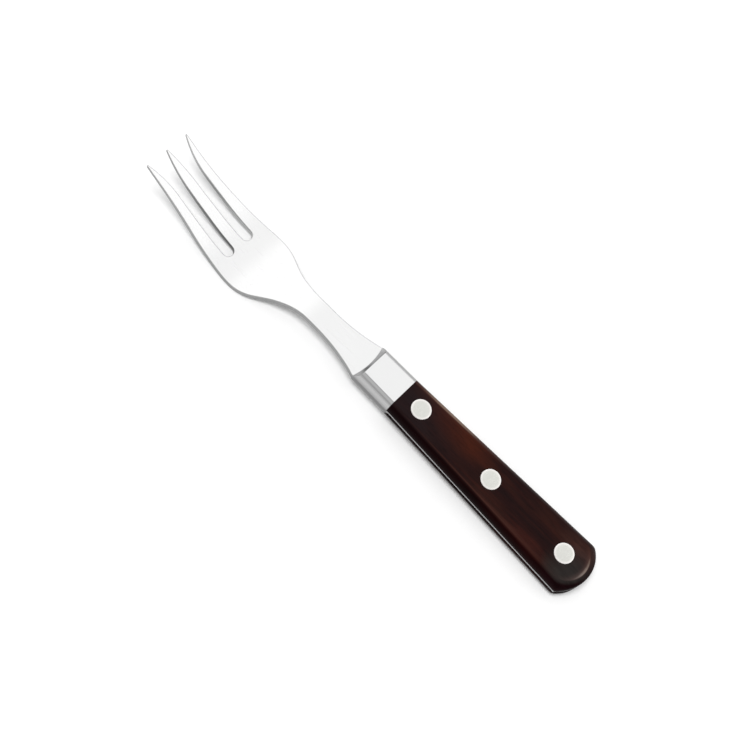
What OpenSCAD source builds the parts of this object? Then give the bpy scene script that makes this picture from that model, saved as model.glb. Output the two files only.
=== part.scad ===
// Steak fork: a three-tined fork with a full tang, two bolster cheeks, two wood scales
// and three two-part rivets. It lies as it rests on a table, on its belly and its butt:
// +X points to the tines, +Z up, and the origin is on the table under the middle.

/* [Handle] */
// Length of the wood scales
scale_len = 88.2; // [75:0.1:100]
// Thickness of each scale and of each bolster cheek
scale_t = 4; // [3:0.1:5.5]
// Width of the handle where the scales meet the bolster
handle_w = 15.6; // [13:0.1:18]
// Width of the handle across the corners of the butt
butt_w = 21.9; // [19:0.1:24]
// Radius of the curved end of the butt
butt_r = 14.5; // [12.5:0.1:20]
// How far the flat faces lie inside the outline along the sides
side_inset = 2.5; // [1:0.1:3]
// How far the flat faces lie inside the outline at the butt
butt_inset = 2.1; // [1:0.1:3]
// Radius of the end of the flat faces at the butt
butt_face_r = 9; // [7.5:0.1:10]
// Radius of the round-over that runs round the butt
butt_round_r = 4.6; // [3.5:0.1:8]
// How far outside the corners of the butt that round-over starts
butt_lip = 0.3; // [0.1:0.1:0.8]

/* [Bolster] */
// Length of the bolster cheeks
bolster_len = 16.5; // [10:0.1:20]
// Width of the bolster at its front
bolster_w = 15.2; // [12:0.1:17]
// Radius of the hollow across the front of each cheek
cove_r = 2.2; // [0.8:0.1:2.5]
// Thickness left at the front edge of each cheek
cove_lip = 0.3; // [0.1:0.1:0.5]

/* [Neck] */
// Length from the bolster to the widest place of the head
neck_len = 53.1; // [45:0.1:65]
// Width of the neck at its narrowest
waist_w = 9.2; // [7:0.1:12]
// Distance from the bolster to the narrowest place
waist_gap = 20.8; // [14:0.1:26]
// Length over which the neck keeps that width
waist_len = 4.7; // [0.5:0.1:8]
// Radius of the hollow between the neck and the head
waist_r = 31; // [12:1:45]

/* [Head] */
// Thickness of the steel blank
blank_t = 2.2; // [1.6:0.1:3]
// Length from the widest place of the head to the tips
head_len = 47.2; // [40:0.1:55]
// Width of the head at its widest
head_w = 25.8; // [23:0.1:30]
// Radius of the shoulders behind the widest place
shoulder_r = 18; // [8:1:30]
// Radius of the outline ahead of the widest place
cheek_r = 50; // [20:1:90]

/* [Tines] */
// Depth of the gaps between the tines
tine_len = 40.1; // [30:0.1:44]
// Width of the gaps between the tines
slot_w = 4.3; // [3:0.05:4.6]
// Distance between the middles of the two gaps at their roots
slot_pitch = 9.2; // [8.4:0.1:10]
// Angle at which each gap leans in towards the middle tine
slot_lean = 1; // [0:0.1:2]
// Distance between the points of the two outer tines
tip_spread = 18.5; // [16:0.1:20]
// Length over which the tines draw in to their points
taper_len = 14; // [8:0.1:20]
// Radius of the points in plan
tip_r = 0.3; // [0.2:0.05:0.6]
// Thickness of the steel at the points
tip_t = 1; // [0.6:0.1:1.6]
// Length of the outer edges that runs straight to the points
edge_len = 5; // [1:0.1:10]
// Radius of the outer edges behind that straight length
edge_r = 167; // [60:1:200]

/* [Bend] */
// Distance from the widest place of the head forward to the bottom of the belly
belly_ahead = 2.2; // [0:0.1:8]
// Length over which the neck dips to the belly
bend_len = 32; // [26:0.1:36]
// Depth of the belly below the tang
belly_drop = 8; // [5:0.1:10]
// Radius of the bend at the neck
bend_r = 29; // [12:1:40]
// Radius of the belly on its neck side
belly_back_r = 31; // [12:1:40]
// Radius of the belly on its tine side
belly_front_r = 53; // [40:1:70]
// Slope of the tines where they leave the belly
tine_slope = 20; // [12:0.5:24]
// Radius of the slow upward bow of the tines
tine_bow_r = 250; // [150:10:600]

/* [Rivets] */
// Distance from the bolster to the first rivet
rivet_front_gap = 8.2; // [6:0.1:14]
// Distance from the first rivet to the second
rivet_step = 33.4; // [20:0.1:40]
// Distance from the butt to the third rivet
rivet_butt_gap = 11.6; // [8:0.1:16]
// Diameter of the rivet heads
head_d = 7.5; // [6.5:0.1:9]
// Thickness of the rivet heads
head_t = 1.2; // [0.8:0.1:1.8]
// Outer diameter of the hollow shanks
sleeve_d = 5; // [4.4:0.1:5.8]
// Diameter of the solid shanks
pin_d = 3.2; // [2.4:0.1:3.8]
// Gap at the ends of both shanks
rivet_end_gap = 0.4; // [0.2:0.1:0.8]
// Clearance round the heads and the shanks
fit_gap = 0.05; // [0.02:0.01:0.15]

/* [Hidden] */
$fn = 64;

// Degrees turned by each straight step of a curve in an outline
arc_step = 2;
// Share of the longest radii that fit between two level ends
curve_fit = 0.985;
// Length by which cutting shapes run past what they cut
over = 2;
// Size that is larger than the handle is wide
wide = 2 * butt_w;

// Stations along the fork from the butt, before it is laid down
bolster_x = scale_len + bolster_len;
head_x = bolster_x + neck_len;
tip_x = head_x + head_len;
waist_x = bolster_x + waist_gap;
belly_x = head_x + belly_ahead;
bend_x = belly_x - bend_len;

// Heights above the middle of the tang
seat_z = blank_t / 2;
face_z = seat_z + scale_t;

// The three rivets, from the bolster to the butt
first_rivet_x = scale_len - rivet_front_gap;
rivet_xs = [first_rivet_x, first_rivet_x - rivet_step, rivet_butt_gap];

// Radius of the rounded sides, which leave the tang upright and meet the flat faces at a crease
side_r = (scale_t * scale_t + side_inset * side_inset) / (2 * side_inset);

// Corner of the butt, and the round-over there, which turns about the middle of the flat face's end
corner_x = butt_r - sqrt(butt_r * butt_r - butt_w * butt_w / 4);
butt_mid_x = butt_inset + butt_face_r;
butt_foot_r = norm([butt_mid_x - corner_x, butt_w / 2]) + butt_lip;

// Angles at which the sides of the scales and of the bolster run
scale_angle = atan2((butt_w - handle_w) / 2, scale_len - corner_x);
bolster_angle = atan2((handle_w - bolster_w) / 2, bolster_len);

// Seen from the side: end of the belly, centre of the tines' bow, and height of the points
belly_end = [belly_x, belly_front_r - belly_drop] + belly_front_r * [sin(tine_slope), -cos(tine_slope)];
bow_mid = belly_end + tine_bow_r * [-sin(tine_slope), cos(tine_slope)];
function bow_angle(x) = asin((x - bow_mid.x) / tine_bow_r);
tip_z = bow_mid.y - tine_bow_r * cos(bow_angle(tip_x));

// Laid down, the fork leans until the belly and the edge of the butt are level
dip_fit = level_fit(bend_len, belly_drop, bend_r, belly_back_r);
belly_out_r = belly_back_r * dip_fit + blank_t / 2;
belly_mid_z = belly_back_r * dip_fit - belly_drop;
lean_reach = norm([belly_x - butt_inset, belly_mid_z + face_z]);
rest_angle = atan2(belly_x - butt_inset, belly_mid_z + face_z) - acos(belly_out_r / lean_reach);
floor_z = face_z * cos(rest_angle) - butt_inset * sin(rest_angle);
mid_x = (tip_x * cos(rest_angle) - (tip_z + seat_z) * sin(rest_angle)) / 2;

// Points of an arc, from one angle to another
function arc(c, r, a0, a1) =
    let (n = max(2, ceil(abs(a1 - a0) / arc_step)))
    [for (i = [0:n]) let (a = a0 + (a1 - a0) * i / n) c + r * [cos(a), sin(a)]];

// Largest share of two radii that fits between level ends, a given run and rise apart
function level_fit(run, rise, r0, r1) =
    min(1, curve_fit * (run * run + rise * rise) / (2 * abs(rise) * (r0 + r1)));

// Curve that leaves p0 level, turns on r0, runs straight, turns back on r1 and ends level at p1
function level_curve(p0, p1, r0, r1) =
    let (run = p1.x - p0.x,
         rise = abs(p1.y - p0.y),
         up = p1.y > p0.y ? 1 : -1,
         fit = level_fit(run, rise, r0, r1),
         both = (r0 + r1) * fit,
         reach = norm([run, both - rise]),
         turn = atan2(run, both - rise) - acos(both / reach))
    concat(arc(p0 + [0, up * r0 * fit], r0 * fit, -90 * up, (turn - 90) * up),
           arc(p1 - [0, up * r1 * fit], r1 * fit, (turn + 90) * up, 90 * up));

// Curve that leaves p0 at an angle and bends evenly until it reaches p1
function reaching_curve(p0, angle, p1) =
    let (way = p1 - p0,
         side = way * [-sin(angle), cos(angle)],
         r = way * way / (2 * side),
         c = p0 + r * [-sin(angle), cos(angle)],
         turn = 2 * (atan2(way.y, way.x) - angle))
    arc(c, abs(r), angle - 90 * sign(r), angle - 90 * sign(r) + turn);

// Points of a curve after the first, on which the curve before it ends
function onward(points) = [for (i = [1:len(points) - 1]) points[i]];
function reversed(points) = [for (i = [len(points) - 1:-1:0]) points[i]];
function mirrored(points) = [for (p = points) [p.x, -p.y]];

// Half of the plan of the blank, from the butt along one side to the point of the middle tine
waist_arc_r = (pow(waist_gap, 2) + pow((bolster_w - waist_w) / 2, 2)) / (bolster_w - waist_w);
waist_arc_turn = asin(waist_gap / waist_arc_r);
slot_root = [tip_x - tine_len + slot_w / 2, slot_pitch / 2];
slot_run = (tip_x - taper_len - slot_root.x) / cos(slot_lean);
slot_end = slot_root + slot_run * [cos(slot_lean), -sin(slot_lean)];
slot_side = slot_w / 2 * [sin(slot_lean), cos(slot_lean)];
outer_tip = [tip_x - tip_r, tip_spread / 2];
middle_tip = [tip_x - tip_r, 0];

half_plan = concat(
    arc([butt_r, 0], butt_r, 180, 180 - asin(butt_w / 2 / butt_r)),
    [[scale_len, handle_w / 2]],
    arc([waist_x, waist_w / 2 + waist_arc_r], waist_arc_r, -90 - waist_arc_turn, -90),
    level_curve([waist_x + waist_len, waist_w / 2], [head_x, head_w / 2], waist_r, shoulder_r),
    onward(level_curve([head_x, head_w / 2], [outer_tip.x - edge_len, outer_tip.y + tip_r], cheek_r, edge_r)),
    arc(outer_tip, tip_r, 90, -90),
    onward(reversed(reaching_curve(slot_end + slot_side, -slot_lean, outer_tip - [0, tip_r]))),
    arc(slot_root, slot_w / 2, 90 - slot_lean, 270 - slot_lean),
    reaching_curve(slot_end - slot_side, -slot_lean, middle_tip + [0, tip_r]),
    onward(arc(middle_tip, tip_r, 90, 0)));

module blank_plan() {
    polygon(concat(half_plan, onward(reversed(mirrored(half_plan)))));
}

// Middle line of the blank seen from the side: tang, dip, belly and tines
middle_line = concat(
    [[-over, 0]],
    level_curve([bend_x, 0], [belly_x, -belly_drop], bend_r, belly_back_r),
    onward(arc([belly_x, belly_front_r - belly_drop], belly_front_r, -90, tine_slope - 90)),
    onward(arc(bow_mid, tine_bow_r, tine_slope - 90, bow_angle(tip_x + over) - 90)));

// The steel keeps its thickness up to the end of the belly and thins from there to the points
function steel_t(x) =
    blank_t + (tip_t - blank_t) * max(0, (x - belly_end.x) / (tip_x - belly_end.x));

function beside(line, i, share) =
    let (way = line[min(i + 1, len(line) - 1)] - line[max(i - 1, 0)])
    line[i] + share * steel_t(line[i].x) * [-way.y, way.x] / norm(way);

module blank_side() {
    last = len(middle_line) - 1;
    polygon(concat([for (i = [0:last]) beside(middle_line, i, 0.5)],
                   [for (i = [last:-1:0]) beside(middle_line, i, -0.5)]));
}

// Turns the fork so that it rests on the table, with the origin under its middle
module laid_down() {
    translate([-mid_x, 0, floor_z]) rotate([0, -rest_angle, 0]) children();
}

// Lower copy of a piece that is made on the upper side of the tang
module below() {
    mirror([0, 0, 1]) children();
}

// Section of a rounded edge, from its foot at the tang in to the flat face
module round_section(inset, r) {
    chord = norm([inset, scale_t]);
    rise = sqrt(r * r - chord * chord / 4);
    intersection() {
        square([wide, scale_t]);
        union() {
            translate([inset, scale_t] / 2 + rise * [scale_t, -inset] / chord) circle(r);
            translate([inset, 0]) square([wide, scale_t]);
        }
    }
}

// Everything on the inner side of one side of the handle, carried along that side
module inside_of_side(start, angle, length) {
    translate([start.x, start.y, seat_z]) rotate([0, 0, angle]) translate([-wide, 0, 0])
        rotate([90, 0, 90]) linear_extrude(length + 2 * wide) round_section(side_inset, side_r);
}

module between_sides(start, angle, length) {
    intersection() {
        inside_of_side(start, angle, length);
        mirror([0, 1, 0]) inside_of_side(start, angle, length);
    }
}

// Slab between the tang and the flat face, from one station to the bolster
module slab_from(x) {
    translate([x, -wide / 2, seat_z]) cube([scale_len - x, wide, scale_t]);
}

// Everything inside the curved end of the butt
module inside_of_butt() {
    translate([butt_r, 0, seat_z]) cylinder(r = butt_r, h = scale_t);
    slab_from(butt_r);
}

// Everything under the round-over at the butt
module under_butt_round() {
    translate([butt_mid_x, 0, seat_z]) rotate_extrude() intersection() {
        square([butt_foot_r, scale_t]);
        translate([butt_foot_r, 0]) mirror([1, 0])
            round_section(butt_foot_r - butt_face_r, butt_round_r);
    }
    slab_from(butt_mid_x);
}

module scale_blank() {
    intersection() {
        between_sides([corner_x, -butt_w / 2], scale_angle, scale_len / cos(scale_angle));
        inside_of_butt();
        under_butt_round();
    }
}

// Counterbore and shank hole for one rivet, above the tang
module rivet_seat(x) {
    translate([x, 0, -over]) cylinder(d = sleeve_d + 2 * fit_gap, h = face_z + 2 * over);
    translate([x, 0, face_z - head_t]) cylinder(d = head_d + 2 * fit_gap, h = head_t + over);
}

module scale_with_seats() {
    difference() {
        scale_blank();
        for (x = rivet_xs) rivet_seat(x);
    }
}

// Cheek seen from the side, with the hollow that runs down to a thin front edge
module cheek_side() {
    polygon(concat([[scale_len, seat_z], [bolster_x, seat_z]],
                   arc([bolster_x, seat_z + cove_lip + cove_r], cove_r, -90, -180),
                   [[bolster_x - cove_r, face_z], [scale_len, face_z]]));
}

module cheek() {
    intersection() {
        between_sides([scale_len, -handle_w / 2], bolster_angle, bolster_len);
        translate([0, wide / 2, 0]) rotate([90, 0, 0]) linear_extrude(wide) cheek_side();
    }
}

module fork_blank() {
    color("gainsboro") laid_down() difference() {
        intersection() {
            translate([0, 0, -wide]) linear_extrude(2 * wide) blank_plan();
            translate([0, wide / 2, 0]) rotate([90, 0, 0]) linear_extrude(wide) blank_side();
        }
        for (x = rivet_xs)
            translate([x, 0, -blank_t]) cylinder(d = sleeve_d + 2 * fit_gap, h = 2 * blank_t);
    }
}

module top_bolster() {
    color("lightgray") laid_down() cheek();
}

module bottom_bolster() {
    color("lightgray") laid_down() below() cheek();
}

module top_scale() {
    color([0.16, 0.09, 0.08]) laid_down() scale_with_seats();
}

module bottom_scale() {
    color([0.16, 0.09, 0.08]) laid_down() below() scale_with_seats();
}

// Hollow half: a flush head with a blind tube that reaches down through the handle
module rivet_sleeve(x) {
    head_under = face_z - head_t;
    tube_len = 2 * head_under - rivet_end_gap;
    color("silver") laid_down() translate([x, 0, head_under]) difference() {
        union() {
            cylinder(d = head_d, h = head_t);
            translate([0, 0, -tube_len]) cylinder(d = sleeve_d, h = tube_len);
        }
        translate([0, 0, -tube_len - over]) cylinder(d = pin_d + 2 * fit_gap, h = tube_len + over);
    }
}

// Solid half: a flush head with a shank that fills the tube
module rivet_pin(x) {
    head_under = face_z - head_t;
    color("silver") laid_down() translate([x, 0, -face_z]) union() {
        cylinder(d = head_d, h = head_t);
        cylinder(d = pin_d, h = head_t + 2 * head_under - rivet_end_gap);
    }
}

fork_blank();
top_bolster();
bottom_bolster();
top_scale();
bottom_scale();
for (i = [0:len(rivet_xs) - 1]) {
    rivet_sleeve(rivet_xs[i]);
    rivet_pin(rivet_xs[i]);
}
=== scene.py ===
import math

import bpy
import numpy as np
from mathutils import Matrix, Vector


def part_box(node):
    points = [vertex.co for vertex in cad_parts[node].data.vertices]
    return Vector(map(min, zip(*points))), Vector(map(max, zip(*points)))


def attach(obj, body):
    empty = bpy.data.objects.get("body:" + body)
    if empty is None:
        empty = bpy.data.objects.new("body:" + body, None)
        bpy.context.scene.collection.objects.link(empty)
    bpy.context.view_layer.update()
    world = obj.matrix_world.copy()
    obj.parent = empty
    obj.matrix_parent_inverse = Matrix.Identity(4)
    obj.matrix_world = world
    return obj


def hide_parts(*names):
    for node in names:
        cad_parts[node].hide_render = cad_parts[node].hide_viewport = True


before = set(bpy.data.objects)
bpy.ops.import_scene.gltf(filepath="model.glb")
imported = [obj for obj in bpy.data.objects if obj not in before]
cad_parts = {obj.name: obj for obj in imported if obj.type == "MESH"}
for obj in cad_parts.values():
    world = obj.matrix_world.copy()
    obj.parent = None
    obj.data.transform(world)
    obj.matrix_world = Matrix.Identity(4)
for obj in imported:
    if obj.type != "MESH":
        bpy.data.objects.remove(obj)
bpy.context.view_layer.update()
print("frame loaded:", len(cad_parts), "nodes")

mm = 0.001  # metres
tiny = 0.01  # mm, keeps a limit or an angle off its edge
weldCells = 2000  # per mm: points within half a micrometre are welded
noiseSpan = (0.3, 0.7)  # most of what a noise texture gives

# sizes that several pieces share, in mm
handle = {
    "scaleLen": 88.2,
    "scaleT": 4.0,
    "handleW": 15.6,  # where the wood meets the bolster
    "buttW": 21.9,
    "buttR": 14.5,  # round end of the handle, seen from above
    "sideInset": 2.5,  # how far a rounded side comes in between the tang and the flat face
    "bolsterLen": 16.5,
    "bolsterW": 15.2,  # where the bolster meets the neck
    "blankT": 2.2,
    "rivetFromButt": 11.6,  # the last rivet's distance from the end of the butt
    "headD": 7.5,
    "headT": 1.2,
    "sleeveD": 5.0,
    "fitGap": 0.05,
}


# middle of a rivet: the common box of its two halves is even about the middle of the tang
def rivetMiddle(number):
    boxes = [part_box(f"{half}_{number}") for half in ("rivet_sleeve", "rivet_pin")]
    low = np.min([box[0] for box in boxes], axis=0)
    high = np.max([box[1] for box in boxes], axis=0)
    return (low + high) / 2


# the handle's own frame: x from the butt along the outer rivets, y across, z up from the tang's middle
rivetSpots = np.array([rivetMiddle(number) for number in (1, 2, 3)])
along = (rivetSpots[0] - rivetSpots[2]) / np.linalg.norm(rivetSpots[0] - rivetSpots[2])
across = np.array([0.0, 1.0, 0.0])
upward = np.cross(along, across)
buttPoint = rivetSpots[2] - along * handle["rivetFromButt"] * mm
rivetXs = (rivetSpots - buttPoint) @ along / mm

# what follows from the sizes: heights, ends, slopes of the side lines, radius of the rounded sides
seatZ = handle["blankT"] / 2
bolsterX = handle["scaleLen"] + handle["bolsterLen"]
cornerX = handle["buttR"] - math.sqrt(handle["buttR"] ** 2 - handle["buttW"] ** 2 / 4)
scaleSlope = (handle["buttW"] - handle["handleW"]) / 2 / (handle["scaleLen"] - cornerX)
bolsterSlope = (handle["handleW"] - handle["bolsterW"]) / 2 / handle["bolsterLen"]
sideR = (handle["scaleT"] ** 2 + handle["sideInset"] ** 2) / (2 * handle["sideInset"])


# handle frame in mm to the row frame in metres: butt + x along + y across + z upward
def place(points):
    x, y, z = np.split(points, 3, axis=-1)
    return buttPoint + (x * along + y * across + z * upward) * mm


# points on a circle from one angle to another, in degrees
def arcPoints(centre, radius, start, end, steps):
    turn = np.radians(np.linspace(start, end, steps + 1))
    return np.asarray(centre) + radius * np.stack([np.cos(turn), np.sin(turn)], axis=-1)


# largest share of two radii that fits between level ends, a run and a rise apart
def levelShare(run, rise, radii, curveFit=0.985):
    return min(1, curveFit * (run**2 + rise**2) / (2 * abs(rise) * radii))


# S-curve: leaves p0 level, turns on r0, runs straight, turns back on r1, ends level at p1
def levelCurve(p0, p1, r0, r1, steps=40):
    run, rise = p1[0] - p0[0], abs(p1[1] - p0[1])
    side = 1 if p1[1] > p0[1] else -1
    share = levelShare(run, rise, r0 + r1)
    both = (r0 + r1) * share
    turn = math.atan2(run, both - rise) - math.acos(both / math.hypot(run, both - rise))
    turn = math.degrees(turn)
    startMid = (p0[0], p0[1] + side * r0 * share)
    endMid = (p1[0], p1[1] - side * r1 * share)
    first = arcPoints(startMid, r0 * share, -90 * side, (turn - 90) * side, steps)
    second = arcPoints(endMid, r1 * share, (turn + 90) * side, 90 * side, steps)
    return np.vstack([first, second])


# single arc that leaves p0 at an angle in degrees and reaches p1
def reachingCurve(p0, angle, p1, steps=30):
    way = np.subtract(p1, p0)
    tilt = math.radians(angle)
    normal = np.array([-math.sin(tilt), math.cos(tilt)])
    radius = way @ way / (2 * (way @ normal))
    turn = 2 * (math.degrees(math.atan2(way[1], way[0])) - angle)
    start = angle - 90 * np.sign(radius)
    return arcPoints(p0 + radius * normal, abs(radius), start, start + turn, steps)


# points of a line at even steps of x
def evenly(line, start, end, rows):
    x = np.linspace(start, end, rows + 1)
    return np.stack([x, np.interp(x, line[:, 0], line[:, 1])], axis=-1)


# unit vectors to the left of a row of directions
def leftOf(ways):
    return np.stack([-ways[:, 1], ways[:, 0]], axis=-1) / np.linalg.norm(ways, axis=1, keepdims=True)


# smaller of two values with the corner between them rounded over a width
def softMin(a, b, width):
    share = np.clip(0.5 + 0.5 * (b - a) / width, 0, 1)
    return b + (a - b) * share - width * share * (1 - share)


# smooth step from 0 to 1 between two values
def smoothStep(values, low, high):
    t = np.clip((values - low) / (high - low), 0, 1)
    return t * t * (3 - 2 * t)


# bell-shaped hump with a strength, a middle and a reach
def hump(values, strength, middle, reach):
    return strength * np.exp(-(((values - middle) / reach) ** 2))


# straight blend between two rows of points, as a grid with the blend across, in even steps or at shares
def between(first, second, steps):
    share = np.linspace(0, 1, steps + 1) if np.isscalar(steps) else np.asarray(steps)
    share = share[None, :, None]
    return first[:, None, :] * (1 - share) + second[:, None, :] * share


# flat points at one height, or at a height that follows x
def lifted(flat, height):
    z = height(flat[..., 0]) if callable(height) else np.full(flat.shape[:-1], height)
    return np.concatenate([flat, z[..., None]], axis=-1)


# the quads of a grid of points; wrap joins the last column to the first
def gridQuads(rows, columns, wrap=False):
    index = np.arange(rows * columns).reshape(rows, columns)
    right = np.roll(index, -1, axis=1) if wrap else index[:, 1:]
    left = index if wrap else index[:, :-1]
    quads = np.stack([left[:-1], right[:-1], right[1:], left[1:]], axis=-1)
    return quads.reshape(-1, 4)


# joins grids into one closed mesh: points that fall together are welded, and quads that shrink become
# triangles; the marks of a grid become point attributes that the materials read
def addPiece(name, patches, sharpAngle=40):
    points, quads, base = [], [], 0
    weights = {key: [] for patch in patches for key in patch.get("marks", {})}
    for patch in patches:
        grid = patch["grid"]
        rows, columns = grid.shape[:2]
        faces = gridQuads(rows, columns, patch.get("wrap", False)) + base
        quads.append(faces[:, ::-1] if patch.get("flip", False) else faces)
        points.append(grid.reshape(-1, 3))
        for key, values in weights.items():
            mark = np.broadcast_to(patch.get("marks", {}).get(key, 0.0), (rows, columns))
            values.append(mark.reshape(-1))
        base += rows * columns
    points, quads = np.vstack(points), np.vstack(quads)
    keys = np.round(points * weldCells).astype(np.int64)
    _, first, inverse = np.unique(keys, axis=0, return_index=True, return_inverse=True)
    inverse = inverse.reshape(-1)
    quads = inverse[quads]
    repeated = (quads == np.roll(quads, -1, axis=1)).any(axis=1)
    shrunk = [list(dict.fromkeys(face)) for face in quads[repeated].tolist()]
    faces = quads[~repeated].tolist() + [face for face in shrunk if len(face) > 2]
    mesh = bpy.data.meshes.new(name)
    mesh.from_pydata(place(points[first]), [], faces)
    for key, values in weights.items():
        mark = np.zeros(len(first), dtype=np.float32)
        np.maximum.at(mark, inverse, np.concatenate(values))
        mesh.attributes.new(key, "FLOAT", "POINT").data.foreach_set("value", mark)
    mesh.polygons.foreach_set("use_smooth", np.ones(len(mesh.polygons), dtype=bool))
    mesh.set_sharp_from_angle(angle=math.radians(sharpAngle))
    mesh.update()
    piece = bpy.data.objects.new(name, mesh)
    bpy.context.scene.collection.objects.link(piece)
    return piece


# lays grids on the tang: up by half its thickness, and for the lower side mirrored in its middle
def seated(patches, below):
    for patch in patches:
        patch["grid"] = patch["grid"] + [0, 0, seatZ]
        if below:
            patch["grid"] = patch["grid"] * [1, 1, -1]
            patch["flip"] = not patch.get("flip", False)
    return patches


# finish of a piece: its material, the body it rides on, and the node it stands for, which is hidden
def finishPiece(piece, node, material):
    piece.data.materials.append(material)
    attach(piece, "root")
    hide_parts(node)
    print(f"{piece.name}: {len(piece.data.polygons)} faces")


# fork blank: tang, neck, head and tines from one sheet of steel
forkBlank = {
    "neckLen": 53.1,  # from the bolster to the widest part of the head
    "waistW": 9.2,
    "waistGap": 20.8,  # from the bolster to the waist
    "waistLen": 4.7,  # straight stretch of the waist
    "waistR": 31,
    "headLen": 47.2,  # from the widest part of the head to the points
    "headW": 25.8,
    "shoulderR": 18,
    "cheekR": 50,
    "tineLen": 40.1,
    "slotW": 4.3,
    "slotPitch": 9.2,
    "slotLean": 1,  # degrees
    "tipSpread": 18.5,  # between the points of the outer tines
    "taperLen": 14,  # length over which the tines narrow to their points
    "tipR": 0.3,
    "tipT": 1.0,
    "edgeLen": 5,  # straight stretch behind the outer points
    "edgeR": 167,
    "bellyAhead": 2.2,  # lowest place, ahead of the widest
    "bendLen": 32,  # length of the drop from the neck to the belly
    "bellyDrop": 8,
    "bendR": 29,
    "bellyBackR": 31,
    "bellyFrontR": 53,
    "tineSlope": 20,  # degrees
    "tineBowR": 250,
    "overrun": 1,  # how far the side view runs on past the butt and the points
    "edgeRound": 0.24,  # round-over of the polished edges
    "tangRound": 0.04,
    "roundFade": 3,  # length ahead of the bolster over which the one becomes the other
    "tangInset": 0.33,  # the tang's edge lies a little behind the edges of the scales
    "insetFade": 0.6,  # length before the bolster over which it comes out
    "paintedEdgeShade": 0.35,  # painted shade on the cut edges, for the shadowed table that they mirror, of 1
    "paintedCheekShade": 0.58,  # the same painted shade, between the bolster cheeks
    "cheekFade": (-3, 4),  # places from the bolster's end between which that ends
    "paintedSlotShade": 0.65,  # painted shade added along the upper edge of the middle tine's left wall, deep in the slot
    "slotFade": 14.0,  # length over which that fades
    "paintedShadeRightSlot": 0.30,  # what is left of the painted shade on the wall of the right slot
    "paintedRightEdgeShade": 0.85,  # painted shade line along the upper round of the edges that face right
    "roundSteps": 4,
    "curveSteps": 60,
    "bendSteps": 80,
    "bodyRows": 150,
    "tineRows": 56,
    "tineCells": 6,
    "slotCells": 10,
    "middleCells": 4,
    "slotBlend": 9.0,  # length behind the slots over which the rows bend round them
}


# side view: level along the tang, an S-curve down to the belly, an arc up to the tines and a slow bow to the
# points; the upper and lower lines lie half the thickness away from that along its normal
def bladeSide(b, tipX, bellyX):
    bellyMid = (bellyX, b["bellyFrontR"] - b["bellyDrop"])
    belly = arcPoints(bellyMid, b["bellyFrontR"], -90, b["tineSlope"] - 90, b["curveSteps"])
    tineStart = belly[-1]
    slope = math.radians(b["tineSlope"])
    bowMid = tineStart + b["tineBowR"] * np.array([-math.sin(slope), math.cos(slope)])
    bowEnd = math.degrees(math.asin((tipX + b["overrun"] - bowMid[0]) / b["tineBowR"])) - 90
    bendFrom, bendTo = (bellyX - b["bendLen"], 0), (bellyX, -b["bellyDrop"])
    middle = np.vstack([
        [[-b["overrun"], 0]],
        levelCurve(bendFrom, bendTo, b["bendR"], b["bellyBackR"], b["bendSteps"]),
        belly[1:],
        arcPoints(bowMid, b["tineBowR"], b["tineSlope"] - 90, bowEnd, b["curveSteps"])[1:],
    ])
    thin = np.clip((middle[:, 0] - tineStart[0]) / (tipX - tineStart[0]), 0, None)
    thickness = handle["blankT"] + (b["tipT"] - handle["blankT"]) * thin
    away = leftOf(np.gradient(middle, axis=0)) * thickness[:, None] / 2
    return middle + away, middle - away


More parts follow.
